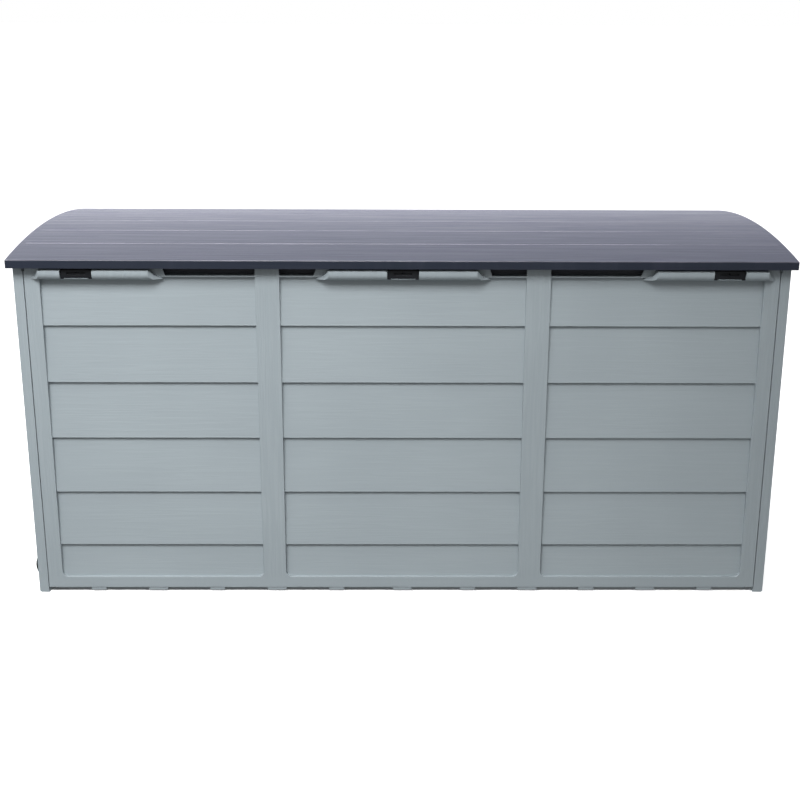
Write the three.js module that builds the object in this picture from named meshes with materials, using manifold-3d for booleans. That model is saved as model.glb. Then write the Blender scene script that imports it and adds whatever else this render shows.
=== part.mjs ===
// Deck storage box: a flat-pack plastic chest with lapped-board walls, an arched hinged lid,
// three lid catches along the front and two wheels under the left end.
// Millimetres, +Z up. The front faces -Y, and the origin is on the floor under the middle of the box.

import * as THREE from 'three';
import { mergeVertices } from 'three/addons/utils/BufferGeometryUtils.js';
import Module from 'manifold-3d';

const wasm = await Module();
wasm.setup();

// ---------------------------------------------------------------- driving dimensions
const LID_WIDTH = 1120;
const LID_DEPTH = 490;
const HEIGHT = 535; // floor to the crown of the lid
const WALL = 3;
const GAP = 0.4; // left between pieces that touch

// the walls
const BODY_X = 555; // outer face of the side panels
const BODY_Y = 227; // outer face of the front and back panels
const SEAM_X = 540.5; // where a side panel meets the front and back panels
const SEAM_GAP = 0.9;
const PANEL_END_X = SEAM_X - SEAM_GAP / 2; // ends of the front and back panels
const PANEL_Z = 8.5; // bottom edge of the walls
const RIM_Z = 492.5; // top rim between the ledges
const HEAD_Z = 503; // top of the posts, stiles and ledges
const SEAM_NOTCH = { halfWidth: 2.2, depth: 5 }; // at the head of a seam, where a corner clip shows
const FLANGE_Y = 20; // how far the edges of the front and back panels turn inwards

// the boards between the posts
const BAY_EDGES = [[-518, -211.6], [-176.8, 176.8], [211.6, 518]];
const BAY_BOTTOM_Z = 25.5;
const RIM_BAND = 2.2; // height of the rim left above a bay
const BAY_TOP_Z = RIM_Z - RIM_BAND;
const BAY_RADIUS = 8;
const BOARD_PITCH = 85.2;
const FIRST_LAP_Z = 77.6;
const BOARD_FOOT_INSET = 3; // a board's lower edge, behind the face of the posts
const BOARD_HEAD_INSET = 8; // its upper edge, under the next board
const BAY_WALL = BOARD_HEAD_INSET + WALL;

// the ledges that the lid closes over, and their catches
const CATCH_CENTRES = { left: -463, centre: 0, right: 465 };
const INNER_TAPER = 18.5; // an end slopes back to the wall over this length
const OUTER_TAPER = 14; // and over this one beside a corner of the box
const LEDGES = {
  left: { from: -516.2, to: -361, tapers: [OUTER_TAPER, INNER_TAPER] },
  centre: { from: -105.5, to: 105.5, tapers: [INNER_TAPER, INNER_TAPER] },
  right: { from: 362.8, to: 519.8, tapers: [INNER_TAPER, OUTER_TAPER] },
};
const LEDGE = {
  out: 14, // in front of the posts
  footZ: 487.5,
  topZ: HEAD_Z - GAP,
  noseRadius: 9.5,
  topChamfer: 2,
  root: 6, // how far it runs into the wall
};
const CATCH = { halfWidth: 22.5, sillZ: 490.2, earWidth: 5.5, earDrop: 1.4, backY: -BODY_Y + 2 };
const KEEPER = { frontY: -BODY_Y - LEDGE.out + 3.6, topZ: HEAD_Z - 0.8, wall: 2.2, windowHalf: 13 };
const TONGUE = { halfWidth: 16.4, frontY: -234.4, backY: -229.4, bottomZ: 495, eyeRadius: 2.4, play: 0.8 };
const TONGUE_BASE = { halfWidth: 21, height: 3, frontReach: 1.5, backReach: 5 };

// the lid
const LID_LIP = 12.2; // height of the lid's front edge
const LID_EDGE_Z = 517.5; // top of that edge
const LID_BOTTOM_Z = LID_EDGE_Z - LID_LIP;
const LID_HALF_X = LID_WIDTH / 2;
const LID_HALF_Y = LID_DEPTH / 2;
const LID_RISE = HEIGHT - LID_EDGE_Z;
const LID_RADIUS = (LID_HALF_Y ** 2 + LID_RISE ** 2) / (2 * LID_RISE);
const LID_BOARDS = 6;
const GROOVE = { width: 1.5, depth: 1.4, endMargin: 9 };
const SKIRT = { x: 533, y: 212.5 }; // the ribs that drop inside the front and back walls
const LID_RIB = { half: 1.25, depth: 7, pitchX: 200, y: 70 };
const REAR_NOTCH = { width: 156, length: 4, depth: 1.5 };

// the hinge
const HINGE_Y = 236;
const HINGE_Z = 497;
const HINGE_CENTRES = { left: -420, centre: 0, right: 420 };
const BARREL_R = 6.5;
const HINGE_PIN_R = 3;
const PIN_HEAD = { radius: 5, length: 3 };
const LID_KNUCKLE_HALF = 21.6;
const WALL_KNUCKLE = { from: 22, to: 34 };
const STOP_PAD = { lugDrop: 26, topDrop: 8.4, footDrop: 15, near: 4, far: 5.8 }; // stops the open lid

// the floor
const FLOOR_Z = 11.9; // underside of the floor plate
const SNAP_TABS = [
  [0, 29], [100.5, 23], [192, 29], [283, 23], [373.5, 29], [464.5, 23],
]; // distance from the middle, width

// the wheels, set into the left end
const WHEEL = { x: -538, y: 187, z: 31, radius: 29, width: 22, bore: 4.4, hub: 12, tyre: 7, dish: 4 };
const AXLE_R = 4;
const HOUSING = { outerX: -553, innerX: -500, topZ: 66, wall: 2.4, sideClearance: 1.2 };
const HOUSING_HALF_Y = WHEEL.width / 2 + HOUSING.sideClearance + HOUSING.wall;

// the carrying grips in the side panels
const GRIP = { halfWidth: 60, bottomZ: 438, topZ: 470, depth: 30, hookZ: 476, radius: 10 };

// ---------------------------------------------------------------- solids
function toSolid(geometry) {
  const bare = geometry.clone();
  bare.deleteAttribute('normal');
  bare.deleteAttribute('uv');
  const merged = mergeVertices(bare, 1e-4);
  return new wasm.Manifold(new wasm.Mesh({
    numProp: 3,
    vertProperties: new Float32Array(merged.attributes.position.array),
    triVerts: new Uint32Array(merged.index.array),
  }));
}

function toGeometry(solid) {
  const mesh = solid.getMesh();
  const geometry = new THREE.BufferGeometry();
  geometry.setAttribute('position', new THREE.BufferAttribute(new Float32Array(mesh.vertProperties), 3));
  geometry.setIndex(new THREE.BufferAttribute(new Uint32Array(mesh.triVerts), 1));
  const faceted = geometry.toNonIndexed();
  faceted.computeVertexNormals();
  return faceted;
}

function join(...solids) {
  return solids.flat().reduce((whole, piece) => whole.add(piece));
}

function cut(solid, ...tools) {
  return tools.flat().reduce((rest, tool) => rest.subtract(tool), solid);
}

function box(x0, x1, y0, y1, z0, z1) {
  const geometry = new THREE.BoxGeometry(x1 - x0, y1 - y0, z1 - z0);
  geometry.translate((x0 + x1) / 2, (y0 + y1) / 2, (z0 + z1) / 2);
  return toSolid(geometry);
}

function ordered(a, b) {
  return a < b ? [a, b] : [b, a];
}

const X_AXIS = new THREE.Vector3(1, 0, 0);
const Y_AXIS = new THREE.Vector3(0, 1, 0);
const Z_AXIS = new THREE.Vector3(0, 0, 1);

function extrude(shape, length, basis, curveSegments) {
  const geometry = new THREE.ExtrudeGeometry(shape, { depth: length, bevelEnabled: false, curveSegments });
  geometry.applyMatrix4(basis);
  return toSolid(geometry);
}

// A shape drawn in (y, z), pushed along X.
function alongX(shape, x0, x1, curveSegments = 4) {
  const basis = new THREE.Matrix4().makeBasis(Y_AXIS, Z_AXIS, X_AXIS).setPosition(x0, 0, 0);
  return extrude(shape, x1 - x0, basis, curveSegments);
}

// A shape drawn in (x, z), pushed towards -Y from y1 to y0.
function alongY(shape, y0, y1, curveSegments = 4) {
  const basis = new THREE.Matrix4().makeBasis(X_AXIS, Z_AXIS, Y_AXIS.clone().negate()).setPosition(0, y1, 0);
  return extrude(shape, y1 - y0, basis, curveSegments);
}

// A shape drawn in (x, y), pushed along Z.
function alongZ(shape, z0, z1) {
  return extrude(shape, z1 - z0, new THREE.Matrix4().setPosition(0, 0, z0), 4);
}

function polygon(points) {
  return new THREE.Shape(points.map(([u, v]) => new THREE.Vector2(u, v)));
}

// A rectangle whose lower corners, and upper ones if asked, are round.
function roundedBay(u0, u1, v0, v1, radius, roundTop = false) {
  const shape = new THREE.Shape();
  const topRadius = roundTop ? radius : 0;
  shape.moveTo(u0 + radius, v0);
  shape.lineTo(u1 - radius, v0);
  shape.absarc(u1 - radius, v0 + radius, radius, -Math.PI / 2, 0);
  shape.lineTo(u1, v1 - topRadius);
  if (roundTop) shape.absarc(u1 - radius, v1 - radius, radius, 0, Math.PI / 2);
  shape.lineTo(u0 + topRadius, v1);
  if (roundTop) shape.absarc(u0 + radius, v1 - radius, radius, Math.PI / 2, Math.PI);
  shape.lineTo(u0, v0 + radius);
  shape.absarc(u0 + radius, v0 + radius, radius, Math.PI, 1.5 * Math.PI);
  return shape;
}

const ROD_SIDES = 16;

// A cylinder along X or Y between two stations.
function rod(axis, radius, from, to, u, v) {
  const geometry = new THREE.CylinderGeometry(radius, radius, to - from, ROD_SIDES);
  if (axis === 'x') {
    geometry.rotateZ(-Math.PI / 2);
    geometry.translate((from + to) / 2, u, v);
  } else {
    geometry.translate(u, (from + to) / 2, v);
  }
  return toSolid(geometry);
}

// ---------------------------------------------------------------- lapped boards
// The outline of a skin of lapped boards in (inset, z). Inset is measured inwards from the face of
// the posts. Each board leans out towards its lower edge and covers the head of the one below.
function boardSection(bottomZ, topZ) {
  const lean = BOARD_HEAD_INSET - BOARD_FOOT_INSET;
  const outside = [];
  let foot = bottomZ;
  let head = FIRST_LAP_Z;
  while (head <= bottomZ) head += BOARD_PITCH;
  while (foot < topZ) {
    const insetAt = (z) => BOARD_HEAD_INSET - lean * (head - z) / BOARD_PITCH;
    const top = Math.min(head, topZ);
    outside.push([insetAt(foot), foot], [insetAt(top), top]);
    foot = top;
    head += BOARD_PITCH;
  }
  const last = outside.length - 1;
  const inside = outside.map(([inset, z], index) => {
    const isEnd = index === 0 || index === last;
    return [inset + WALL, isEnd ? z : z + WALL];
  });
  return [...outside, ...inside.reverse()];
}

// ---------------------------------------------------------------- front and back panels
// Both are drawn as the front panel, with the outer face at y = -BODY_Y.
function frontOutline() {
  const heads = [[-PANEL_END_X, BAY_EDGES[0][0]]];
  for (let bay = 0; bay < BAY_EDGES.length - 1; bay += 1) {
    heads.push([BAY_EDGES[bay][1], BAY_EDGES[bay + 1][0]]);
  }
  heads.push([BAY_EDGES.at(-1)[1], PANEL_END_X]);
  const points = [];
  heads.forEach(([x0, x1], index) => {
    if (index > 0) points.push([x0, RIM_Z]);
    points.push([x0, HEAD_Z], [x1, HEAD_Z]);
    if (index < heads.length - 1) points.push([x1, RIM_Z]);
  });
  points.push([PANEL_END_X, PANEL_Z], [-PANEL_END_X, PANEL_Z]);
  return polygon(points.reverse());
}

function boardedPanel() {
  const face = -BODY_Y;
  const inner = face + FLANGE_Y;
  const endX = PANEL_END_X;
  let frame = alongY(frontOutline(), face, face + WALL);
  const bayWalls = [];
  const boards = [];
  for (const [x0, x1] of BAY_EDGES) {
    const hole = roundedBay(x0, x1, BAY_BOTTOM_Z, BAY_TOP_Z, BAY_RADIUS);
    frame = cut(frame, alongY(hole, face - 1, face + WALL + 1));
    const surround = box(x0 - WALL, x1 + WALL, face, face + BAY_WALL, BAY_BOTTOM_Z - WALL, RIM_Z);
    bayWalls.push(cut(surround, alongY(hole, face - 1, face + BAY_WALL + 1)));
    const section = boardSection(BAY_BOTTOM_Z - 1, BAY_TOP_Z + 1).map(([inset, z]) => [face + inset, z]);
    boards.push(alongX(polygon(section.reverse()), x0 - 1, x1 + 1));
  }
  const flanges = [
    box(-endX, endX, face, inner, PANEL_Z, PANEL_Z + WALL),
    box(-endX, -endX + WALL, face, inner, PANEL_Z, HEAD_Z),
    box(endX - WALL, endX, face, inner, PANEL_Z, HEAD_Z),
    box(-endX, endX, face + WALL - 1, inner, BAY_TOP_Z, RIM_Z),
  ];
  const ribs = [];
  for (const lap of [1, 3]) {
    const z = FIRST_LAP_Z + lap * BOARD_PITCH;
    ribs.push(box(-endX, endX, face + BAY_WALL - 4, inner, z, z + WALL));
  }
  const body = join(frame, bayWalls, boards, flanges, ribs);
  const seamNotches = [-1, 1].map((side) => {
    const x = side * SEAM_X;
    const { halfWidth: half, depth } = SEAM_NOTCH;
    return box(x - half, x + half, face - 1, face + WALL, HEAD_Z - depth, HEAD_Z + 1);
  });
  return cut(body, seamNotches);
}

const END_BEND = { along: 0.4, left: 0.42 }; // where an end bends, and the share of its depth left there
const SHOULDER_SLOPE = 4;

// A ledge: a rounded bar along the rim, hollow from behind. Its ends curve back to the wall, which
// stands as high as the ledge as far as their tips.
function ledge({ from, to, tapers }) {
  const { footZ, topZ, noseRadius, topChamfer } = LEDGE;
  const face = -BODY_Y;
  const front = face - LEDGE.out;
  const back = face + LEDGE.root;
  const tips = [from - tapers[0], to + tapers[1]];
  const bends = [from - tapers[0] * END_BEND.along, to + tapers[1] * END_BEND.along];
  const section = new THREE.Shape();
  section.moveTo(back, topZ);
  section.lineTo(front + topChamfer, topZ);
  section.lineTo(front, topZ - topChamfer);
  section.lineTo(front, footZ + noseRadius);
  section.absarc(front + noseRadius, footZ + noseRadius, noseRadius, Math.PI, 1.5 * Math.PI);
  section.lineTo(back, footZ);
  const bendY = face - LEDGE.out * END_BEND.left;
  const plan = polygon([
    [from, front], [to, front], [bends[1], bendY], [tips[1], face], [tips[1], back],
    [tips[0], back], [tips[0], face], [bends[0], bendY],
  ]);
  const bendZ = footZ + (topZ - footZ) * END_BEND.left;
  const elevation = polygon([
    [tips[0], footZ - 1], [tips[1], footZ - 1], [tips[1], footZ + 1], [bends[1], bendZ], [to, topZ],
    [from, topZ], [bends[0], bendZ], [tips[0], footZ + 1],
  ]);
  const bar = alongX(section, ...tips)
    .intersect(alongZ(plan, footZ - 1, HEAD_Z))
    .intersect(alongY(elevation, front, back));
  const shoulder = polygon([
    [tips[0] - SHOULDER_SLOPE, RIM_Z - 1], [tips[1] + SHOULDER_SLOPE, RIM_Z - 1],
    [tips[1], topZ], [tips[0], topZ],
  ]);
  const hollow = box(from, to, front + WALL, back + 1, RIM_Z + 1, HEAD_Z - WALL);
  return cut(join(bar, alongY(shoulder, face, face + WALL)), hollow);
}

// The opening for a catch: a rectangle with a small ear at each lower corner. A gap above zero
// makes the smaller outline of the piece that goes into it.
function catchShape(centre, topZ, gap = 0) {
  const side = CATCH.halfWidth - gap;
  const earSide = CATCH.halfWidth - CATCH.earWidth + gap;
  const sill = CATCH.sillZ + gap;
  const earFoot = sill - CATCH.earDrop;
  return polygon([
    [centre - side, earFoot], [centre - earSide, earFoot], [centre - earSide, sill],
    [centre + earSide, sill], [centre + earSide, earFoot], [centre + side, earFoot],
    [centre + side, topZ], [centre - side, topZ],
  ]);
}

function frontPanel() {
  let body = boardedPanel();
  for (const [end, span] of Object.entries(LEDGES)) {
    body = body.add(ledge(span));
    const opening = catchShape(CATCH_CENTRES[end], HEAD_Z + 5);
    body = cut(body, alongY(opening, -BODY_Y - LEDGE.out - 1, CATCH.backY));
  }
  return cut(body, snapSlots());
}

// The back panel carries the hinge knuckles. Each has a pad that stops the open lid.
function hingeKnuckle(centre) {
  const y = -HINGE_Y;
  const root = -BODY_Y + 1;
  const { lugDrop, topDrop, footDrop, near, far } = STOP_PAD;
  const lug = polygon([
    [root, HINGE_Z - lugDrop], [root, HINGE_Z - 1], [y, HINGE_Z], [y - near, HINGE_Z],
    [y - near, HINGE_Z - topDrop], [y - far, HINGE_Z - topDrop], [y - far, HINGE_Z - footDrop],
  ]);
  return [-1, 1].map((side) => {
    const [from, to] = ordered(centre + side * WALL_KNUCKLE.from, centre + side * WALL_KNUCKLE.to);
    const barrel = rod('x', BARREL_R, from, to, y, HINGE_Z);
    return join(barrel, alongX(lug, from, to));
  });
}

function pinBores(y) {
  const reach = WALL_KNUCKLE.to + 26;
  return Object.values(HINGE_CENTRES).map((centre) => (
    rod('x', HINGE_PIN_R + GAP, centre - reach, centre + reach, y, HINGE_Z)
  ));
}

function backPanel() {
  const body = join(boardedPanel(), Object.values(HINGE_CENTRES).flatMap(hingeKnuckle));
  return cut(body, pinBores(-HINGE_Y), snapSlots());
}

// ---------------------------------------------------------------- floor
// Snap tabs drop through slots in the bottom edge of the walls and hook under it, and a rim joins them.
const TAB = { front: 225.8, back: 211, stemFront: 218, stemBack: 212, bottomZ: 3.2, stemInset: 3 };
const UNDER_RIM = { front: 221, back: 218.5, bottomZ: 3.6, halfX: 530 }; // runs between the tabs
const FLOOR_RIB = { half: 1.5, bottomZ: PANEL_Z - 3, pitchX: 150, y: 90 };

function tabPlaces() {
  return SNAP_TABS.flatMap(([x, width]) => (x === 0 ? [[0, width]] : [[-x, width], [x, width]]));
}

function snapSlots() {
  return tabPlaces().map(([x, width]) => (
    box(
      x - width / 2 + TAB.stemInset - 1, x + width / 2 - TAB.stemInset + 1,
      -TAB.stemFront - GAP, -TAB.stemBack + GAP, 0, FLOOR_Z,
    )
  ));
}

function floorPanel() {
  const plateTop = FLOOR_Z + WALL;
  const plate = join(
    box(-SEAM_X + WALL + 2 * GAP, SEAM_X - WALL - 2 * GAP, -BODY_Y + 15, BODY_Y - 15, FLOOR_Z, plateTop),
    box(-BODY_X + WALL + GAP, BODY_X - WALL - GAP, -BODY_Y + 21, BODY_Y - 21, FLOOR_Z, plateTop),
  );
  const tabs = tabPlaces().flatMap(([x, width]) => [-1, 1].map((side) => {
    const hook = ordered(side * TAB.front, side * TAB.back);
    const stem = ordered(side * TAB.stemFront, side * TAB.stemBack);
    return join(
      box(x - width / 2, x + width / 2, ...hook, TAB.bottomZ, PANEL_Z - GAP),
      box(
        x - width / 2 + TAB.stemInset, x + width / 2 - TAB.stemInset, ...stem,
        PANEL_Z - GAP - 1, FLOOR_Z + 1,
      ),
    );
  }));
  const ribs = [];
  const { half, bottomZ, pitchX } = FLOOR_RIB;
  for (let x = -3 * pitchX; x <= 3 * pitchX; x += pitchX) {
    ribs.push(box(x - half, x + half, -200, 200, bottomZ, FLOOR_Z + 1));
  }
  for (const y of [-FLOOR_RIB.y, FLOOR_RIB.y]) {
    ribs.push(box(-490, 530, y - half, y + half, bottomZ, FLOOR_Z + 1));
  }
  const wells = [-1, 1].map((side) => {
    const near = WHEEL.y - HOUSING_HALF_Y - GAP;
    const [y0, y1] = ordered(side * near, side * BODY_Y);
    return box(-BODY_X, HOUSING.innerX + GAP, y0, y1, 0, plateTop + 1);
  });
  const rims = [-1, 1].map((side) => {
    const [y0, y1] = ordered(side * UNDER_RIM.front, side * UNDER_RIM.back);
    return box(-UNDER_RIM.halfX, UNDER_RIM.halfX, y0, y1, UNDER_RIM.bottomZ, PANEL_Z - GAP);
  });
  return join(cut(join(plate, ribs, tabs), wells), rims);
}

// ---------------------------------------------------------------- side panels
// Drawn as the left one, with the outer face at x = -BODY_X. Its top follows the arch of the lid.
const SIDE_DEPTH = BODY_X - SEAM_X - SEAM_GAP / 2;
const SIDE_TOP_RADIUS = LID_RADIUS - WALL - 2;
const SIDE_BAY = { halfWidth: 187, bottomZ: BAY_BOTTOM_Z, topZ: 405 };

const ARCH_SEGMENTS = 10;
// A foot has a narrow lip round its sole, and a web behind its front that props the wall beside it.
const FOOT = { chamfer: 2, lip: 1.2, lipHeight: 1.4, webReach: 6, webInset: 6, webZ: 0.6 };

function arched(halfY, bottomZ, radius, x0, x1) {
  const shape = new THREE.Shape();
  const centreZ = HEIGHT - LID_RADIUS;
  const angle = Math.asin(halfY / radius);
  shape.moveTo(-halfY, bottomZ);
  shape.lineTo(halfY, bottomZ);
  shape.absarc(0, centreZ, radius, Math.PI / 2 - angle, Math.PI / 2 + angle);
  return alongX(shape, x0, x1, ARCH_SEGMENTS);
}

function foot(side, length) {
  const outer = -BODY_X;
  const inner = -BODY_X + SIDE_DEPTH;
  const top = PANEL_Z + WALL;
  const { chamfer, lip, lipHeight, webReach, webInset, webZ } = FOOT;
  const section = polygon([
    [outer, chamfer], [outer + chamfer, 0], [inner + lip, 0], [inner + lip, lipHeight],
    [inner, lipHeight + lip], [inner, top], [outer, top],
  ]);
  const web = polygon([[inner - 1, webZ], [inner + webReach, PANEL_Z - GAP], [inner - 1, PANEL_Z - GAP]]);
  const webY = side * (BODY_Y - webInset);
  return join(
    alongY(section, ...ordered(side * BODY_Y, side * (BODY_Y - length))),
    alongY(web, ...ordered(webY, webY - side * WALL)),
  );
}

function sidePanel(footLength) {
  const outer = -BODY_X;
  const inner = outer + SIDE_DEPTH;
  const shell = arched(BODY_Y, PANEL_Z, SIDE_TOP_RADIUS, outer, inner);
  const hollow = arched(BODY_Y - WALL, PANEL_Z + WALL, SIDE_TOP_RADIUS - WALL, outer + WALL, inner + 1);
  const { halfWidth, bottomZ, topZ } = SIDE_BAY;
  const bay = roundedBay(-halfWidth, halfWidth, bottomZ, topZ, BAY_RADIUS);
  const tray = cut(shell, hollow, alongX(bay, outer - 1, outer + WALL + 1));
  const surround = cut(
    box(outer, outer + BAY_WALL, -halfWidth - WALL, halfWidth + WALL, bottomZ - WALL, topZ + WALL),
    alongX(bay, outer - 1, inner + 1),
  );
  const section = boardSection(bottomZ - 1, topZ + 1).map(([inset, z]) => [outer + inset, z]);
  const boards = alongY(polygon(section.reverse()), -halfWidth - 1, halfWidth + 1);
  const returns = [-1, 1].map((side) => {
    const [y0, y1] = ordered(side * BODY_Y, side * (BODY_Y - FLANGE_Y));
    return box(inner - WALL, inner, y0, y1, PANEL_Z, HEAD_Z);
  });
  const pocket = box(
    outer + 1, outer + GRIP.depth, -GRIP.halfWidth - WALL, GRIP.halfWidth + WALL,
    GRIP.bottomZ - WALL, GRIP.hookZ + WALL,
  );
  const pocketHollow = join(
    box(outer + WALL, outer + GRIP.depth - WALL, -GRIP.halfWidth, GRIP.halfWidth, GRIP.bottomZ, GRIP.hookZ),
    alongX(
      roundedBay(-GRIP.halfWidth, GRIP.halfWidth, GRIP.bottomZ, GRIP.topZ, GRIP.radius, true),
      outer - 1, outer + WALL + 1,
    ),
  );
  const feet = [foot(-1, footLength), foot(1, footLength)];
  const body = cut(join(tray, surround, boards, returns, pocket, feet), pocketHollow);
  const seamNotches = [-1, 1].map((side) => {
    const [y0, y1] = ordered(side * (BODY_Y + 1), side * (BODY_Y - WALL));
    return box(-SEAM_X - SEAM_NOTCH.halfWidth, inner + 1, y0, y1, HEAD_Z - SEAM_NOTCH.depth, HEIGHT);
  });
  return cut(body, seamNotches);
}

function wheelArches() {
  return [-1, 1].map((side) => {
    const half = HOUSING_HALF_Y + GAP;
    const y = side * WHEEL.y;
    return box(-BODY_X - 1, -SEAM_X + 4, y - half, y + half, 0, HOUSING.topZ + GAP);
  });
}

// A clip pushed down over the seam where two walls meet.
const CLIP = { leg: 2.2, frontInset: WALL + GAP, backInset: 15, crown: 2.4 };

function cornerClip(sideX, sideY) {
  const seam = sideX * SEAM_X;
  const reach = WALL + 2 * GAP;
  const outerX = reach + CLIP.leg;
  const [y0, y1] = ordered(sideY * (BODY_Y - CLIP.frontInset), sideY * (BODY_Y - CLIP.backInset));
  const block = box(seam - outerX, seam + outerX, y0, y1, RIM_Z + GAP, HEAD_Z + CLIP.crown);
  const slot = box(seam - reach, seam + reach, y0 - 1, y1 + 1, RIM_Z, HEAD_Z + GAP);
  return cut(block, slot);
}

// ---------------------------------------------------------------- catches
// Height of an arch about the lid's own axis.
function archZ(y, radius) {
  return HEIGHT - LID_RADIUS + Math.sqrt(radius ** 2 - y ** 2);
}

function catchKeeper(centre) {
  const outline = catchShape(centre, KEEPER.topZ, GAP);
  const block = alongY(outline, KEEPER.frontY, CATCH.backY - GAP);
  const pocket = box(
    centre - TONGUE.halfWidth - TONGUE.play, centre + TONGUE.halfWidth + TONGUE.play,
    KEEPER.frontY + KEEPER.wall, TONGUE.backY + TONGUE.play, TONGUE.bottomZ - 1, HEAD_Z + 1,
  );
  const window = box(
    centre - KEEPER.windowHalf, centre + KEEPER.windowHalf, KEEPER.frontY - 1, TONGUE.frontY,
    CATCH.sillZ + 5, HEAD_Z - 4,
  );
  return cut(block, pocket, window);
}

function catchTongue(centre) {
  const baseFrontY = TONGUE.frontY - TONGUE_BASE.frontReach;
  const topZ = archZ(baseFrontY, LID_RADIUS - WALL) - GAP;
  const plate = box(
    centre - TONGUE.halfWidth, centre + TONGUE.halfWidth,
    TONGUE.frontY, TONGUE.backY, TONGUE.bottomZ, topZ,
  );
  const base = box(
    centre - TONGUE_BASE.halfWidth, centre + TONGUE_BASE.halfWidth,
    baseFrontY, TONGUE.backY + TONGUE_BASE.backReach, topZ - TONGUE_BASE.height, topZ,
  );
  const padlockEye = alongY(
    new THREE.Shape().absarc(centre, TONGUE.bottomZ + 4.2, TONGUE.eyeRadius, 0, 2 * Math.PI),
    TONGUE.frontY - 1, TONGUE.backY + 1,
  );
  return cut(join(plate, base), padlockEye);
}

// ---------------------------------------------------------------- lid
function lidKnuckle(centre) {
  const from = centre - LID_KNUCKLE_HALF;
  const to = centre + LID_KNUCKLE_HALF;
  return join(
    rod('x', BARREL_R, from, to, HINGE_Y, HINGE_Z),
    box(from, to, HINGE_Y - 4, LID_HALF_Y - WALL + 0.5, HINGE_Z, LID_EDGE_Z - 0.7),
  );
}

function lidPanel() {
  const shell = arched(LID_HALF_Y, LID_BOTTOM_Z, LID_RADIUS, -LID_HALF_X, LID_HALF_X);
  const hollow = arched(
    LID_HALF_Y - WALL, LID_BOTTOM_Z - 1, LID_RADIUS - WALL, -LID_HALF_X + WALL, LID_HALF_X - WALL,
  );
  const arch = arched(LID_HALF_Y - 1, LID_BOTTOM_Z - 60, LID_RADIUS - 1, -LID_HALF_X, LID_HALF_X);
  const stiffeners = [];
  const { half: ribHalf, pitchX } = LID_RIB;
  const ribRadius = LID_RADIUS - WALL - LID_RIB.depth;
  const underArch = arched(LID_HALF_Y, LID_BOTTOM_Z - 60, ribRadius, -LID_HALF_X, LID_HALF_X);
  for (let x = -2 * pitchX; x <= 2 * pitchX; x += pitchX) {
    stiffeners.push(box(x - ribHalf, x + ribHalf, -SKIRT.y, SKIRT.y, LID_BOTTOM_Z, HEIGHT));
  }
  for (const y of [-LID_RIB.y, LID_RIB.y]) {
    stiffeners.push(box(-SKIRT.x, SKIRT.x, y - ribHalf, y + ribHalf, LID_BOTTOM_Z, HEIGHT));
  }
  const ribs = cut(join(stiffeners).intersect(arch), underArch);
  const skirts = [-1, 1].map((side) => {
    const y = side * SKIRT.y;
    return box(-SKIRT.x, SKIRT.x, y - ribHalf, y + ribHalf, RIM_Z + GAP, HEIGHT).intersect(arch);
  });
  const knuckles = Object.values(HINGE_CENTRES).map(lidKnuckle);
  const body = join(cut(shell, hollow), ribs, skirts, knuckles);
  const grooves = [];
  for (let board = 1; board < LID_BOARDS; board += 1) {
    const y = -LID_HALF_Y + board * LID_DEPTH / LID_BOARDS;
    const z = archZ(y, LID_RADIUS);
    const half = GROOVE.width / 2;
    const vee = polygon([[y - half, z + 0.3], [y, z - GROOVE.depth], [y + half, z + 0.3]]);
    grooves.push(alongX(vee, -LID_HALF_X + GROOVE.endMargin, LID_HALF_X - GROOVE.endMargin));
  }
  const notch = box(
    -REAR_NOTCH.width / 2, REAR_NOTCH.width / 2, LID_HALF_Y - REAR_NOTCH.length, LID_HALF_Y + 1,
    LID_EDGE_Z - REAR_NOTCH.depth, HEIGHT,
  );
  return cut(body, grooves, notch, pinBores(HINGE_Y));
}

function hingePin(centre) {
  const end = WALL_KNUCKLE.to + PIN_HEAD.length;
  const headStart = centre + WALL_KNUCKLE.to + GAP;
  return join(
    rod('x', HINGE_PIN_R, centre - end, headStart + 1, HINGE_Y, HINGE_Z),
    rod('x', PIN_HEAD.radius, headStart, centre + end, HINGE_Y, HINGE_Z),
  );
}

// ---------------------------------------------------------------- wheels
function wheel() {
  const half = WHEEL.width / 2;
  const { radius, bore, hub, tyre, dish } = WHEEL;
  const web = half - dish;
  const bevel = 3;
  const profile = [
    [bore, -half], [hub - 1, -half], [hub, -web], [radius - tyre, -web], [radius - tyre + 1, -half],
    [radius - bevel, -half], [radius, -half + bevel], [radius, half - bevel], [radius - bevel, half],
    [radius - tyre + 1, half], [radius - tyre, web], [hub, web], [hub - 1, half], [bore, half], [bore, -half],
  ];
  return toSolid(new THREE.LatheGeometry(profile.map(([r, y]) => new THREE.Vector2(r, y)), 24));
}

// The plastic box that a wheel runs in. It drops into the corner of the floor and carries the axle.
function wheelHousing(side) {
  const { outerX, innerX, topZ, wall } = HOUSING;
  const y = side * WHEEL.y;
  const flangeZ = FLOOR_Z + WALL + GAP;
  const inwards = side * (WHEEL.y - HOUSING_HALF_Y - 9);
  const outwards = side * (WHEEL.y + HOUSING_HALF_Y);
  const [flangeY0, flangeY1] = ordered(inwards, outwards);
  const shell = join(
    box(outerX, innerX, y - HOUSING_HALF_Y, y + HOUSING_HALF_Y, PANEL_Z, topZ),
    box(-SEAM_X + 1, innerX + 9, flangeY0, flangeY1, flangeZ, flangeZ + wall),
  );
  const well = box(
    outerX - 20, innerX - wall, y - HOUSING_HALF_Y + wall, y + HOUSING_HALF_Y - wall, 0, topZ - wall,
  );
  return cut(shell, well, rod('y', AXLE_R + GAP, y - 30, y + 30, WHEEL.x, WHEEL.z));
}

// Headed pin: the head is inside the box and the tip is under the push-on cap.
const AXLE_TIP = HOUSING_HALF_Y + 2;

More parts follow.
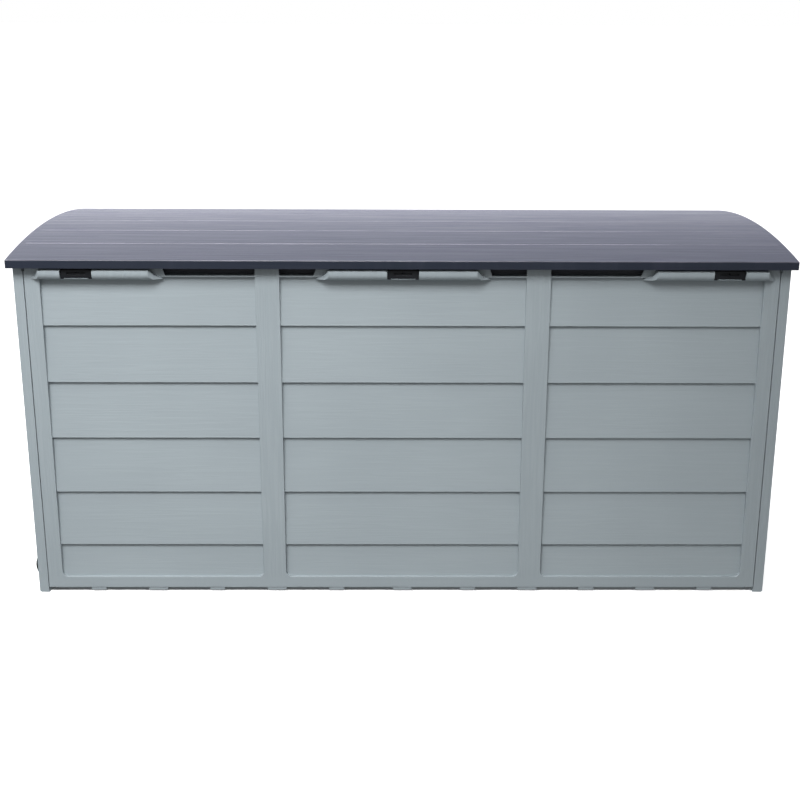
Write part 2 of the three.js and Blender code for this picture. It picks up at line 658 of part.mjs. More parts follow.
function axlePin(side) {
  const y = side * WHEEL.y;
  const stations = (from, to) => ordered(y + side * from, y + side * to);
  const headStart = -HOUSING_HALF_Y - GAP;
  return join(
    rod('y', AXLE_R, ...stations(headStart - 1, AXLE_TIP), WHEEL.x, WHEEL.z),
    rod('y', 7, ...stations(headStart - 2.4, headStart), WHEEL.x, WHEEL.z),
  );
}

function axleCap(side) {
  const y = side * WHEEL.y;
  const stations = (from, to) => ordered(y + side * from, y + side * to);
  const start = HOUSING_HALF_Y + GAP;
  return cut(
    rod('y', 7, ...stations(start, AXLE_TIP + GAP + 1.4), WHEEL.x, WHEEL.z),
    rod('y', AXLE_R + GAP, ...stations(start - 1, AXLE_TIP + GAP), WHEEL.x, WHEEL.z),
  );
}

// ---------------------------------------------------------------- materials
const FINISHES = {
  wallPlastic: { color: 0x93a0a5, roughness: 0.62, metalness: 0 },
  lidPlastic: { color: 0x3a3f4c, roughness: 0.5, metalness: 0 },
  blackPlastic: { color: 0x14151a, roughness: 0.55, metalness: 0 },
  steel: { color: 0xa9abae, roughness: 0.35, metalness: 1 },
};

const group = new THREE.Group();

function place(name, solid, finish) {
  const mesh = new THREE.Mesh(toGeometry(solid), new THREE.MeshStandardMaterial(FINISHES[finish]));
  mesh.name = name;
  group.add(mesh);
  return mesh;
}

// ---------------------------------------------------------------- assembly
place('front_panel', frontPanel(), 'wallPlastic');
place('back_panel', backPanel(), 'wallPlastic').rotation.z = Math.PI;
place('left_side_panel', cut(sidePanel(20), wheelArches()), 'wallPlastic');
place('right_side_panel', sidePanel(45), 'wallPlastic').rotation.z = Math.PI;
place('floor_panel', floorPanel(), 'wallPlastic');
place('lid', lidPanel(), 'lidPlastic');

for (const [end, centre] of Object.entries(CATCH_CENTRES)) {
  place(`catch_keeper_${end}`, catchKeeper(centre), 'blackPlastic');
  place(`catch_tongue_${end}`, catchTongue(centre), 'blackPlastic');
}

for (const [end, centre] of Object.entries(HINGE_CENTRES)) {
  place(`hinge_pin_${end}`, hingePin(centre), 'steel');
}

for (const [wall, sideY] of [['front', -1], ['back', 1]]) {
  for (const [end, sideX] of [['left', -1], ['right', 1]]) {
    place(`corner_clip_${wall}_${end}`, cornerClip(sideX, sideY), 'wallPlastic');
  }
  const rollingWheel = place(`wheel_${wall}`, wheel(), 'blackPlastic');
  rollingWheel.position.set(WHEEL.x, sideY * WHEEL.y, WHEEL.z);
  place(`wheel_housing_${wall}`, wheelHousing(sideY), 'blackPlastic');
  place(`axle_pin_${wall}`, axlePin(sideY), 'steel');
  place(`axle_cap_${wall}`, axleCap(sideY), 'blackPlastic');
}

export default group;
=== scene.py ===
"""Deck storage box: lapped plastic walls, an arched board lid, lid catches, hinges and wheels.

Metres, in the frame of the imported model: X is the width, the front faces -Y, +Z is up, and the
floor is at z = 0.
"""

import math
from types import SimpleNamespace

import bmesh
import bpy
from mathutils import Matrix, Vector


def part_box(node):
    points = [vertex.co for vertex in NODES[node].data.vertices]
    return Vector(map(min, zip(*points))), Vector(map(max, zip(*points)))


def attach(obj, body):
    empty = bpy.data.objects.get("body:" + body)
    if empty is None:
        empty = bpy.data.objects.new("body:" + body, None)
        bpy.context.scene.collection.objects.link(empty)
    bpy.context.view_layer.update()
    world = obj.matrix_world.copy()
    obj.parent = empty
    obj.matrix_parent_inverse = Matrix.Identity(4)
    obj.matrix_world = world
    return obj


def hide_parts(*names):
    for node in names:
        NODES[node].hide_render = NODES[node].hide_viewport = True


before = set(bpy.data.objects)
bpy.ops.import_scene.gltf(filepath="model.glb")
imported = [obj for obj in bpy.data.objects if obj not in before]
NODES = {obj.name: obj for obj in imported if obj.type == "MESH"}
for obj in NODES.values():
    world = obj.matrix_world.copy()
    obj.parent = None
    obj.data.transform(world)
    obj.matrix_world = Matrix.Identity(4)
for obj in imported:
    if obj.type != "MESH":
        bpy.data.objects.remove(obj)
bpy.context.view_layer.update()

MM = 0.001

# ------------------------------------------- places from the frame, and the model's own dimensions
LEFT_LOW, LEFT_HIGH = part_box("left_side_panel")
LID_LOW, LID_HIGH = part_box("lid")

WALL_X = -LEFT_LOW.x  # outer face of the side panels
WALL_Y = LEFT_HIGH.y  # outer face of the front and back panels
BAY_BOTTOM = 25.5 * MM  # the boards stand between these heights
BAY_TOP = 490.3 * MM
SIDE_BAY_TOP = 405 * MM
BAY_RADIUS = 8 * MM

LID_BOARDS = 6
LID_PITCH = (LID_HIGH.y - LID_LOW.y) / LID_BOARDS
LID_RISE = 17.5 * MM  # of the arch above the lid's front edge
LID_RADIUS = (LID_HIGH.y ** 2 + LID_RISE ** 2) / (2 * LID_RISE)
LID_EDGE_Z = LID_HIGH.z - LID_RISE  # top of the lid's front edge
GROOVE_MARGIN = 9 * MM  # from the ends of the grooves to the ends of the lid

HINGE_PIN_RADIUS = 3 * MM
AXLE_RADIUS = 4 * MM
BORE_GAP = 0.4 * MM  # between an axle and the bore that it goes through
X_AXIS = Vector((1, 0, 0))
Y_AXIS = Vector((0, 1, 0))
Z_AXIS = Vector((0, 0, 1))


# ---------------------------------------------------------------- node graphs
class Graph:
    """Fills the shader tree of a material or world, cleared first, with linked nodes."""

    def __init__(self, owner):
        owner.use_nodes = True
        self.tree = owner.node_tree
        self.tree.nodes.clear()

    def add(self, kind, **settings):
        node = self.tree.nodes.new(kind)
        for key, value in settings.items():
            setattr(node, key, value)
        return node

    def link(self, output, socket):
        self.tree.links.new(output, socket)

    def put(self, socket, value):
        if isinstance(value, bpy.types.NodeSocket):
            self.link(value, socket)
        else:
            socket.default_value = value

    def math(self, operation, a, b=0.0):
        node = self.add("ShaderNodeMath", operation=operation)
        for socket, value in zip(node.inputs, (a, b)):
            self.put(socket, value)
        return node.outputs[0]

    def product(self, *factors):
        result = factors[0]
        for factor in factors[1:]:
            result = self.math("MULTIPLY", result, factor)
        return result

    def spread(self, value, low, high, to_low=0.0, to_high=1.0):
        """Maps low..high to to_low..to_high, smoothly and clamped."""
        node = self.add("ShaderNodeMapRange", interpolation_type="SMOOTHSTEP", clamp=True)
        for socket, number in zip(node.inputs, (value, low, high, to_low, to_high)):
            self.put(socket, number)
        return node.outputs[0]

    def split(self, vector):
        node = self.add("ShaderNodeSeparateXYZ")
        self.link(vector, node.inputs[0])
        return node.outputs


class Nodes(Graph):
    """A procedural material in object coordinates, in metres."""

    def __init__(self, name):
        self.material = bpy.data.materials.new(name)
        super().__init__(self.material)
        output = self.add("ShaderNodeOutputMaterial")
        self.shader = self.add("ShaderNodeBsdfPrincipled")
        self.link(self.shader.outputs["BSDF"], output.inputs["Surface"])
        self.position = self.add("ShaderNodeTexCoord").outputs["Object"]

    def axes(self):
        return self.split(self.position)

    def vector(self, x, y, z):
        node = self.add("ShaderNodeCombineXYZ")
        for socket, value in zip(node.inputs, (x, y, z)):
            self.put(socket, value)
        return node.outputs[0]

    def stretched(self, *scales):
        """Object coordinates with a scale of its own along each axis."""
        return self.vector(*[self.math("MULTIPLY", axis, scale) for axis, scale in zip(self.axes(), scales)])

    def noise(self, place, scale, detail=3.0, roughness=0.55, distortion=0.0):
        node = self.add("ShaderNodeTexNoise")
        self.put(node.inputs["Vector"], place)
        self.put(node.inputs["Scale"], scale)
        self.put(node.inputs["Detail"], detail)
        self.put(node.inputs["Roughness"], roughness)
        self.put(node.inputs["Distortion"], distortion)
        return node.outputs["Fac"]

    def mix(self, factor, a, b):
        node = self.add("ShaderNodeMix", data_type="RGBA")
        self.put(node.inputs["Factor"], factor)
        for socket, colour in ((node.inputs[6], a), (node.inputs[7], b)):
            self.put(socket, (*colour, 1.0) if isinstance(colour, tuple) else colour)
        return node.outputs[2]

    def bump(self, height, distance, normal=None):
        node = self.add("ShaderNodeBump")
        self.put(node.inputs["Height"], height)
        node.inputs["Distance"].default_value = distance
        if normal is not None:
            self.link(normal, node.inputs["Normal"])
        return node.outputs[0]

    def finish(self, colour, roughness, normal, **constants):
        self.put(self.shader.inputs["Base Color"], (*colour, 1.0) if isinstance(colour, tuple) else colour)
        self.put(self.shader.inputs["Roughness"], roughness)
        self.link(normal, self.shader.inputs["Normal"])
        for name, value in constants.items():
            self.shader.inputs[name.replace("_", " ")].default_value = value
        return self.material


# ---------------------------------------------------------------- finishes
WALL_TINT = (0.310, 0.356, 0.380)
WALL_SHADE = (0.294, 0.338, 0.362)
WALL_GROOVE = (0.250, 0.292, 0.315)  # in the low parts of the grain
LID_TINT = (0.009, 0.014, 0.026)
# Pale hazy streaks on the lid: partly the plastic's own whitening, partly painted reflection, stronger on
# the top than on the lip.
LID_HAZE_AND_REFLECTION = (0.056, 0.054, 0.080)
# Painted highlight, paler than the lid, on the edges of its grooves and of its rim.
LID_PAINTED_HIGHLIGHT = (0.200, 0.195, 0.240)  # the edges of its grooves and of its rim
# Lighter than the lid's outside: painted fill light for the shaded gap under the lid.
LID_INSIDE_PAINTED_FILL = (0.030, 0.036, 0.048)
LID_DUST = (0.048, 0.054, 0.066)
BLACK_TINT = (0.003, 0.004, 0.006)
BLACK_DUST = (0.009, 0.011, 0.014)
ZINC_DARK = (0.44, 0.45, 0.46)
ZINC_LIGHT = (0.58, 0.59, 0.60)
FLOOR_SHADE = (0.86, 0.86, 0.86)
FLOOR_TINT = (0.90, 0.90, 0.90)


def grain_place(nodes, along, across):
    """Object coordinates stretched for a grain that runs level (along < across) or upright.
    X and Y are added, so the same grain runs round all four walls."""
    x, y, z = nodes.axes()
    return nodes.vector(nodes.product(nodes.math("ADD", x, y), along), 0.0, nodes.product(z, across))


def wall_plastic(name, along, across, relief, depth):
    """Blue-grey polypropylene with a moulded wood grain and a fine matt texture over it. The grain
    is shallow on the bottom rail."""
    nodes = Nodes(name)
    place = grain_place(nodes, along, across)
    figure = nodes.noise(place, 1.0, detail=4.0, distortion=0.9)
    fibres = nodes.noise(grain_place(nodes, along * 2.5, across * 5.0), 1.0, detail=2.0)
    matt = nodes.noise(nodes.position, 1400.0, detail=2.0)
    cloud = nodes.noise(nodes.position, 5.0, detail=2.0)
    above_rail = nodes.spread(nodes.axes()[2], BAY_BOTTOM - 8 * MM, BAY_BOTTOM + 6 * MM, 0.15, 1.0)
    pores = nodes.spread(figure, 0.42, 0.62)
    colour = nodes.mix(nodes.spread(cloud, 0.3, 0.7), WALL_SHADE, WALL_TINT)
    gaps = nodes.math("SUBTRACT", 1.0, pores)
    colour = nodes.mix(nodes.product(gaps, depth, above_rail), colour, WALL_GROOVE)
    rough = nodes.spread(matt, 0.3, 0.7, 0.50, 0.62)
    height = nodes.math("ADD", pores, nodes.product(fibres, 0.55))
    normal = nodes.bump(nodes.product(height, above_rail), relief)
    normal = nodes.bump(matt, 0.05 * MM, normal)
    return nodes.finish(colour, rough, normal)


def lid_inside():
    """The same plastic inside the lid, matt, plain and a little dusty. Its colour is lighter than outside:
    painted fill light in the shaded gap under the lid.
    """
    nodes = Nodes("lid_plastic_inside")
    matt = nodes.noise(nodes.position, 900.0, detail=3.0)
    dust = nodes.noise(nodes.position, 12.0, detail=4.0)
    colour = nodes.mix(nodes.spread(dust, 0.35, 0.75), LID_INSIDE_PAINTED_FILL, LID_DUST)
    rough = nodes.spread(matt, 0.3, 0.7, 0.58, 0.72)
    return nodes.finish(colour, rough, nodes.bump(matt, 0.06 * MM))


def lid_plastic():
    """Dark slate plastic with a long brushed wood grain that catches the light in streaks. Its colour has
    pale hazy streaks, partly its own whitening and partly painted reflection, full on the top and weaker
    on the lip, and a painted highlight along the grooves between its boards and round its edge."""
    nodes = Nodes("lid_plastic")
    fibres = nodes.noise(nodes.stretched(5.0, 150.0, 60.0), 1.0, detail=5.0, roughness=0.65, distortion=0.6)
    streaks = nodes.noise(nodes.stretched(18.0, 75.0, 1.0), 1.0, detail=4.0, roughness=0.65, distortion=1.2)
    patches = nodes.noise(nodes.stretched(9.0, 12.0, 1.0), 1.0)
    matt = nodes.noise(nodes.position, 1500.0, detail=2.0)
    # Painted reflection: the pale streaks are full on the top of the lid and fall to 0.3 on its vertical
    # lip.
    reflection_on_top = nodes.spread(nodes.axes()[2], LID_EDGE_Z - 4 * MM, LID_EDGE_Z, 0.3, 1.0)
    haze_and_reflection = nodes.product(
        nodes.spread(streaks, 0.48, 0.72), nodes.spread(patches, 0.35, 0.65, 0.25, 1.0), reflection_on_top)
    colour = nodes.mix(nodes.product(haze_and_reflection, 0.55), LID_TINT, LID_HAZE_AND_REFLECTION)
    # Painted highlight: pale on the edges of the grooves, and at 0.4 on the rounded rim.
    edges = nodes.math("MAXIMUM", groove_highlight_mask(nodes), nodes.product(rim_highlight_mask(nodes), 0.4))
    colour = nodes.mix(nodes.product(edges, nodes.spread(patches, 0.3, 0.6, 0.5, 1.0)), colour, LID_PAINTED_HIGHLIGHT)
    rough = nodes.math("ADD", nodes.spread(fibres, 0.3, 0.7, 0.30, 0.42), nodes.product(haze_and_reflection, 0.10))
    normal = nodes.bump(nodes.spread(fibres, 0.35, 0.65), 0.10 * MM)
    normal = nodes.bump(matt, 0.03 * MM, normal)
    return nodes.finish(colour, rough, normal, Sheen_Weight=0.22, Sheen_Roughness=0.5,
                        Sheen_Tint=(0.55, 0.58, 1.0, 1.0))


def groove_highlight_mask(nodes):
    """Mask of the painted highlight: 1 on the edges of the grooves between the lid's boards, fading out over
    a millimetre.
    """
    x, y, _ = nodes.axes()
    along_board = nodes.product(nodes.math("FRACT", nodes.math("DIVIDE", y, LID_PITCH)), LID_PITCH)
    distance = nodes.math("MINIMUM", along_board, nodes.math("SUBTRACT", LID_PITCH, along_board))
    near = nodes.spread(distance, 0.9 * MM, 1.9 * MM, 1.0, 0.0)
    last_groove = (LID_BOARDS / 2 - 1) * LID_PITCH
    within_y = nodes.spread(nodes.math("ABSOLUTE", y), last_groove + 4 * MM, last_groove + 5 * MM, 1.0, 0.0)
    end = LID_HIGH.x - GROOVE_MARGIN
    within_x = nodes.spread(nodes.math("ABSOLUTE", x), end - 0.5 * MM, end + 0.5 * MM, 1.0, 0.0)
    return nodes.product(near, within_x, within_y)


def rim_highlight_mask(nodes):
    """Mask of the painted highlight: 1 on the rounded edge between the top of the lid and its lip."""
    x, y, z = nodes.axes()
    at_front, at_end = [nodes.spread(nodes.math("ABSOLUTE", axis), edge - 1.7 * MM, edge - 0.9 * MM)
                        for axis, edge in ((y, LID_HIGH.y), (x, LID_HIGH.x))]
    is_high = nodes.spread(z, LID_EDGE_Z - 1.8 * MM, LID_EDGE_Z - 1.0 * MM)
    return nodes.product(nodes.math("MAXIMUM", at_front, at_end), is_high)


def black_plastic(name="black_plastic", roughness=0.45):
    """Black plastic with a fine texture and a little dust."""
    nodes = Nodes(name)
    matt = nodes.noise(nodes.position, 1100.0, detail=3.0)
    dust = nodes.noise(nodes.position, 30.0, detail=4.0)
    colour = nodes.mix(nodes.spread(dust, 0.45, 0.8), BLACK_TINT, BLACK_DUST)
    rough = nodes.spread(matt, 0.3, 0.7, roughness - 0.06, roughness + 0.08)
    return nodes.finish(colour, rough, nodes.bump(matt, 0.05 * MM), Specular_IOR_Level=0.3)


def steel():
    """Zinc-plated steel with faint turning marks."""
    nodes = Nodes("zinc_steel")
    turned = nodes.noise(nodes.stretched(60.0, 60.0, 900.0), 1.0)
    spangle = nodes.noise(nodes.position, 160.0, detail=4.0)
    colour = nodes.mix(nodes.spread(spangle, 0.35, 0.7), ZINC_DARK, ZINC_LIGHT)
    rough = nodes.spread(turned, 0.3, 0.7, 0.28, 0.46)
    return nodes.finish(colour, rough, nodes.bump(turned, 0.03 * MM), Metallic=1.0)


BOARDS = wall_plastic("wall_plastic_boards", along=9.0, across=230.0, relief=0.06 * MM, depth=0.12)
POSTS = wall_plastic("wall_plastic_posts", along=260.0, across=9.0, relief=0.13 * MM, depth=0.28)
LID = [lid_plastic(), lid_inside()]
BLACK = black_plastic()
TYRE = black_plastic("tyre_plastic", roughness=0.6)
STEEL = steel()


# ---------------------------------------------------------------- pieces
def publish(piece, body, node):
    """The piece rides on a body and stands for a CAD node, which is hidden."""
    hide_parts(node)
    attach(piece, body)


SHARP = math.radians(25.0)  # faces that meet at more than this have an edge between them
WELD = 0.03 * MM  # corners closer than this are one
FLAT_AREA = 100 * MM ** 2  # a face larger than this is a flat
ASKEW = math.radians(15.0)
ROUNDING = 1.6 * MM  # radius of the edges that are rounded more than the rest


def soft_edges(piece, width):
    """Rounds the weighted edges of a moulding, and shades its flats flat."""
    bevel = piece.modifiers.new("soft_edges", "BEVEL")
    bevel.limit_method = "WEIGHT"
    bevel.width = width
    bevel.segments = 2
    bevel.use_clamp_overlap = False
    flatten_shading(piece)


def flatten_shading(piece):
    """Applies the modifiers with normals that follow the largest face at each corner. A flat whose
    corner is still shaded askew by a neighbour gets its own normal there."""
    flats = piece.modifiers.new("flats", "WEIGHTED_NORMAL")
    flats.mode = "FACE_AREA"
    flats.weight = 100
    flats.keep_sharp = True
    graph = bpy.context.evaluated_depsgraph_get()
    mesh = bpy.data.meshes.new_from_object(piece.evaluated_get(graph))
    piece.modifiers.clear()
    piece.data = mesh
    normals = []
    for face in mesh.polygons:
        for corner in face.loop_indices:
            normal = mesh.corner_normals[corner].vector
            is_askew = face.area > FLAT_AREA and normal.dot(face.normal) < math.cos(ASKEW)
            normals.append(face.normal.copy() if is_askew else normal.copy())
    mesh.normals_split_custom_set(normals)


def is_sharp(edge):
    return edge.is_manifold and edge.calc_face_angle(0.0) > SHARP


def weigh_edges(shape, width):
    """Weighs the sharp edges that have room for a bevel of this width, and keeps the rest crisp."""
    weight = shape.edges.layers.float.new("bevel_weight_edge")
    for edge in filter(is_sharp, shape.edges):
        around = [link.calc_length() for vertex in edge.verts for link in vertex.link_edges]
        if min(around) > 2.5 * width:
            edge[weight] = 1.0
        else:
            edge.smooth = False


def round_edges(shape, rules):
    """Rounds the sharp edges that any rule picks by its middle and direction, in four steps."""
    picked = []
    for edge in filter(is_sharp, shape.edges):
        low, high = (vertex.co for vertex in edge.verts)
        if any(rule((low + high) / 2, (high - low).normalized()) for rule in rules):
            picked.append(edge)
    bmesh.ops.bevel(shape, geom=picked, offset=ROUNDING, offset_type="OFFSET", segments=4, profile=0.5,
                    affect="EDGES", clamp_overlap=True)
    bmesh.ops.remove_doubles(shape, verts=shape.verts, dist=WELD)


def add_piece(name, shape, materials):
    """A new object from a bmesh, shaded smooth."""
    for face in shape.faces:
        face.smooth = True
    mesh = bpy.data.meshes.new(name)
    shape.to_mesh(mesh)
    shape.free()
    for material in materials:
        mesh.materials.append(material)
    piece = bpy.data.objects.new(name, mesh)
    bpy.context.scene.collection.objects.link(piece)
    return piece


def moulding(node, body, materials, width=0.5 * MM, rounded=(), face_rule=None):
    """A CAD node as a moulded piece: its flats made whole again, and its edges softened. The edges
    that one of the rounded rules picks are rounded more. The face rule gives a face's material."""
    shape = bmesh.new()
    shape.from_mesh(NODES[node].data)
    bmesh.ops.remove_doubles(shape, verts=shape.verts, dist=WELD)
    bmesh.ops.dissolve_limit(shape, angle_limit=math.radians(0.5), verts=shape.verts, edges=shape.edges)
    if rounded:
        round_edges(shape, rounded)
    weigh_edges(shape, width)
    if face_rule:
        for face in shape.faces:
            face.material_index = face_rule(face)
    piece = add_piece(node + "_moulding", shape, materials)
    soft_edges(piece, width)
    publish(piece, body, node)


BOARD_INSETS = (2 * MM, 13 * MM)  # the boards lie this far behind the face of the posts


def on_front_boards(face):
    """1 for a face of the lapped boards in the front or back panel, 0 for the frame round them."""
    centre = face.calc_center_median()
    is_inset = BOARD_INSETS[0] < WALL_Y - abs(centre.y) < BOARD_INSETS[1]
    return int(is_inset and abs(face.normal.x) < 0.5 and BAY_BOTTOM < centre.z < BAY_TOP)


def on_side_boards(face):
    """1 for a face of the lapped boards in a side panel, 0 for the frame round them."""
    centre = face.calc_center_median()
    is_inset = BOARD_INSETS[0] < WALL_X - abs(centre.x) < BOARD_INSETS[1]
    return int(is_inset and abs(face.normal.y) < 0.5 and BAY_BOTTOM < centre.z < SIDE_BAY_TOP)


def is_near(value, target):
    return abs(abs(value) - target) < 0.3 * MM


def inside_lid(face):
    """1 for the faces under the lid's shell and inside its lip."""
    centre = face.calc_center_median()
    within = abs(centre.x) < LID_HIGH.x - 1 * MM and abs(centre.y) < LID_HIGH.y - 1 * MM
    top = LID_HIGH.z - LID_RADIUS + math.sqrt(LID_RADIUS ** 2 - centre.y ** 2)
    return int(within and centre.z < top - 2 * MM)


def wall_corner(middle, direction):
    """The upright outer edges of the posts, stiles and corners."""
    is_outer = is_near(middle.y, WALL_Y) or is_near(middle.x, WALL_X)
    return is_outer and abs(direction.z) > 0.99


def is_low(middle, direction):
    """True within the rounded lower corners of a bay of boards, and between them."""
    return BAY_BOTTOM - 1 * MM < middle.z < BAY_BOTTOM + BAY_RADIUS + 1 * MM and abs(direction.z) < 0.99


def bay_foot(middle, direction):
    """The lower edge of each bay of boards, in the face of the front and back panels."""
    return is_near(middle.y, WALL_Y) and is_low(middle, direction)


def side_bay_foot(middle, direction):
    """The lower edge of the bay of boards in a side panel's face."""
    return is_near(middle.x, WALL_X) and is_low(middle, direction)


def lid_rim(middle, direction):
    """The edge between the top of the lid and its lip, on all four sides. It dips by 1.5 mm in the
    notch at the rear."""
    on_end = is_near(middle.x, LID_HIGH.x) and abs(direction.z) < 0.5
    on_front = is_near(middle.y, LID_HIGH.y) and abs(direction.x) > 0.99
    return middle.z > LID_EDGE_Z - 2 * MM and (on_end or on_front)


# ---------------------------------------------------------------- turned pieces
TURNS = 64


def lathe(shape, outline, centre, axis):
    """Adds the closed outline of (distance along the axis, radius) points, turned about the axis.
    A point on the axis itself closes an end."""
    across = Y_AXIS if axis.x else X_AXIS
    rings = []
    for distance, radius in outline:
        middle = centre + axis * distance
        if radius == 0.0:
            rings.append([shape.verts.new(middle)])
            continue
        ring = []
        for turn in range(TURNS):
            angle = 2 * math.pi * turn / TURNS
            outwards = across * math.cos(angle) + Z_AXIS * math.sin(angle)
            ring.append(shape.verts.new(middle + outwards * radius))
        rings.append(ring)
    for near, far in zip(rings, rings[1:] + rings[:1]):
        for turn in range(TURNS):
            corners = [ring[index % len(ring)] for ring in (near, far) for index in (turn, turn + 1)]
            quad = [corners[0], corners[1], corners[3], corners[2]]
            loop = list(dict.fromkeys(quad))
            if len(loop) > 2:
                shape.faces.new(loop)


CRISP = 0.3 * MM  # chamfer of a turned piece's crisp edges
DOME_STEPS = 5
DOME_FLAT = 0.45  # of the radius


def dome(top, radius, height):
    """The outline of a domed end: an elliptic edge, a flat, and the axis."""
    edge = []
    for step in range(DOME_STEPS + 1):
        angle = math.pi / 2 * step / DOME_STEPS
        width = DOME_FLAT + (1 - DOME_FLAT) * math.cos(angle)
        edge.append((top - height + height * math.sin(angle), radius * width))
    return [*edge, (top, 0.0)]


def pin(node, axis, shaft, chamfer):
    """A headed pin along its CAD node, with a domed head at the end that the CAD makes wide."""
    low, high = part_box(node)
    centre = (low + high) / 2
    radius = (high.z - low.z) / 2
    top = (high - low).dot(axis) / 2
    vertices = [vertex.co for vertex in NODES[node].data.vertices]
    head = [(co - centre).dot(axis) for co in vertices if abs(co.z - centre.z) > shaft + 0.1 * MM]
    outwards = 1 if sum(head) > 0 else -1
    head_start = min(abs(distance) for distance in head)
    outline = [
        (-top, 0.0), (-top, shaft - chamfer), (-top + chamfer, shaft),
        (head_start, shaft), (head_start, radius - CRISP), (head_start + CRISP, radius),
        *dome(top, radius, 1.1 * MM),
    ]
    shape = bmesh.new()
    lathe(shape, outline, centre, axis * outwards)
    bmesh.ops.recalc_face_normals(shape, faces=shape.faces)
    piece = add_piece(node + "_turned", shape, [STEEL])
    flatten_shading(piece)
    publish(piece, "box", node)


SPOKES = 6
SPOKE_HALF = 1.2 * MM
TREAD_GROOVE = SimpleNamespace(place=4.5 * MM, half=1.1 * MM, depth=1.3 * MM)


def wheel(node, body):
    """A rolling wheel: a treaded rim, a dished web with ribs on both sides, and a hub."""
    low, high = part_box(node)
    centre = (low + high) / 2
    radius = (high.z - low.z) / 2
    half = (high.y - low.y) / 2
    bore = AXLE_RADIUS + BORE_GAP
    hub = 11.5 * MM
    rim = radius - 6.5 * MM
    web = 2.0 * MM
    side = [
        (-half, bore), (-half, hub - 1 * MM), (-half + 1 * MM, hub),
        (-web, hub + 0.6 * MM), (-web, rim - 0.6 * MM),
        (-half + 1.5 * MM, rim), (-half, rim + 1 * MM),
        (-half, radius - 3.4 * MM), (-half + 0.9 * MM, radius - 1.4 * MM),
        (-half + 2.8 * MM, radius - 0.2 * MM),
    ]
    tread = []
    for groove in (-TREAD_GROOVE.place, TREAD_GROOVE.place):
        for across, depth in ((-1.0, 0.0), (-0.5, 1.0), (0.5, 1.0), (1.0, 0.0)):
            tread.append((groove + across * TREAD_GROOVE.half, radius - depth * TREAD_GROOVE.depth))
    outline = [*side, *tread, *[(-distance, width) for distance, width in reversed(side)]]
    shape = bmesh.new()
    lathe(shape, outline, centre, Y_AXIS)
    for spoke in range(SPOKES):
        angle = 2 * math.pi * (spoke + 0.5) / SPOKES
        outwards = Vector((math.cos(angle), 0, math.sin(angle)))
        sideways = Y_AXIS.cross(outwards)
        rib(shape, centre + outwards * (hub + rim) / 2, outwards * (rim - hub + 2 * MM) / 2,
            sideways * SPOKE_HALF, Y_AXIS * (half - 2.2 * MM))
    bmesh.ops.recalc_face_normals(shape, faces=shape.faces)
    piece = add_piece(node + "_treaded", shape, [TYRE])
    flatten_shading(piece)
    publish(piece, body, node)


def rib(shape, centre, along, across, up):
    """A straight rib: a block with these three half extents."""
    corners = []
    for height in (-1, 1):
        for side, end in ((-1, -1), (1, -1), (1, 1), (-1, 1)):
            corners.append(shape.verts.new(centre + along * end + across * side + up * height))
    bottom, top = corners[:4], corners[4:]
    shape.faces.new(bottom[::-1])
    shape.faces.new(top)
    for index in range(4):
        following = (index + 1) % 4
        shape.faces.new((bottom[index], bottom[following], top[following], top[index]))


CAP_END = 1.3 * MM  # thickness of an axle cap's closed end


def cap(node):
    """A push-on axle cap: a round cup with a domed end."""
    low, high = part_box(node)
    centre = (low + high) / 2
    axis = Y_AXIS if centre.y > 0 else -Y_AXIS
    half = (high.y - low.y) / 2
    radius = (high.z - low.z) / 2
    bore = AXLE_RADIUS + BORE_GAP
    outline = [
        (-half, bore), (-half, radius - CRISP), (-half + CRISP, radius), *dome(half, radius, CAP_END),
        (half - CAP_END, 0.0), (half - CAP_END, bore),
    ]
    shape = bmesh.new()
    lathe(shape, outline, centre, axis)
    bmesh.ops.recalc_face_normals(shape, faces=shape.faces)
    piece = add_piece(node + "_domed", shape, [BLACK])
    flatten_shading(piece)
    publish(piece, "box", node)


# ---------------------------------------------------------------- assembly
WALLS = [POSTS, BOARDS]
for panel, foot, is_board in (
    ("front_panel", bay_foot, on_front_boards), ("back_panel", bay_foot, on_front_boards),
    ("left_side_panel", side_bay_foot, on_side_boards), ("right_side_panel", side_bay_foot, on_side_boards),
):
    moulding(panel, "box", WALLS, rounded=[wall_corner, foot], face_rule=is_board)
moulding("floor_panel", "box", [BOARDS])
moulding("lid", "lid", LID, 0.35 * MM, rounded=[lid_rim], face_rule=inside_lid)

for end in ("left", "centre", "right"):
    moulding(f"catch_keeper_{end}", "box", [BLACK], 0.4 * MM)
    moulding(f"catch_tongue_{end}", "lid", [BLACK], 0.5 * MM)
    pin(f"hinge_pin_{end}", X_AXIS, HINGE_PIN_RADIUS, 0.6 * MM)
for wall in ("front", "back"):
    for end in ("left", "right"):
        moulding(f"corner_clip_{wall}_{end}", "box", [POSTS], 0.5 * MM)
    wheel(f"wheel_{wall}", f"{wall}_wheel")
    moulding(f"wheel_housing_{wall}", "box", [BLACK], 0.5 * MM)
    pin(f"axle_pin_{wall}", Y_AXIS, AXLE_RADIUS, 0.8 * MM)
    cap(f"axle_cap_{wall}")


# ---------------------------------------------------------------- studio
def area_light(name, place, target, size, power, spread=180.0):
    """A rectangular light at a place, turned to a target. The spread is in degrees."""
    light = bpy.data.lights.new(name, "AREA")
    light.shape = "RECTANGLE"
    light.size, light.size_y = size
    light.energy = power
    light.spread = math.radians(spread)
    lamp = bpy.data.objects.new(name, light)
    lamp.location = place
    lamp.rotation_euler = (Vector(target) - Vector(place)).to_track_quat("-Z", "Y").to_euler()
    lamp.visible_camera = False
    bpy.context.scene.collection.objects.link(lamp)


FLOOR_REACH = 60.0  # far enough to meet the backdrop
FLOOR_GLOW = 0.62  # keeps the floor nearly white, so that only a faint shadow shows
GLOW_EDGE = (-8.5 * MM, -4.5 * MM)  # the glow sets in here, measured outwards from the walls


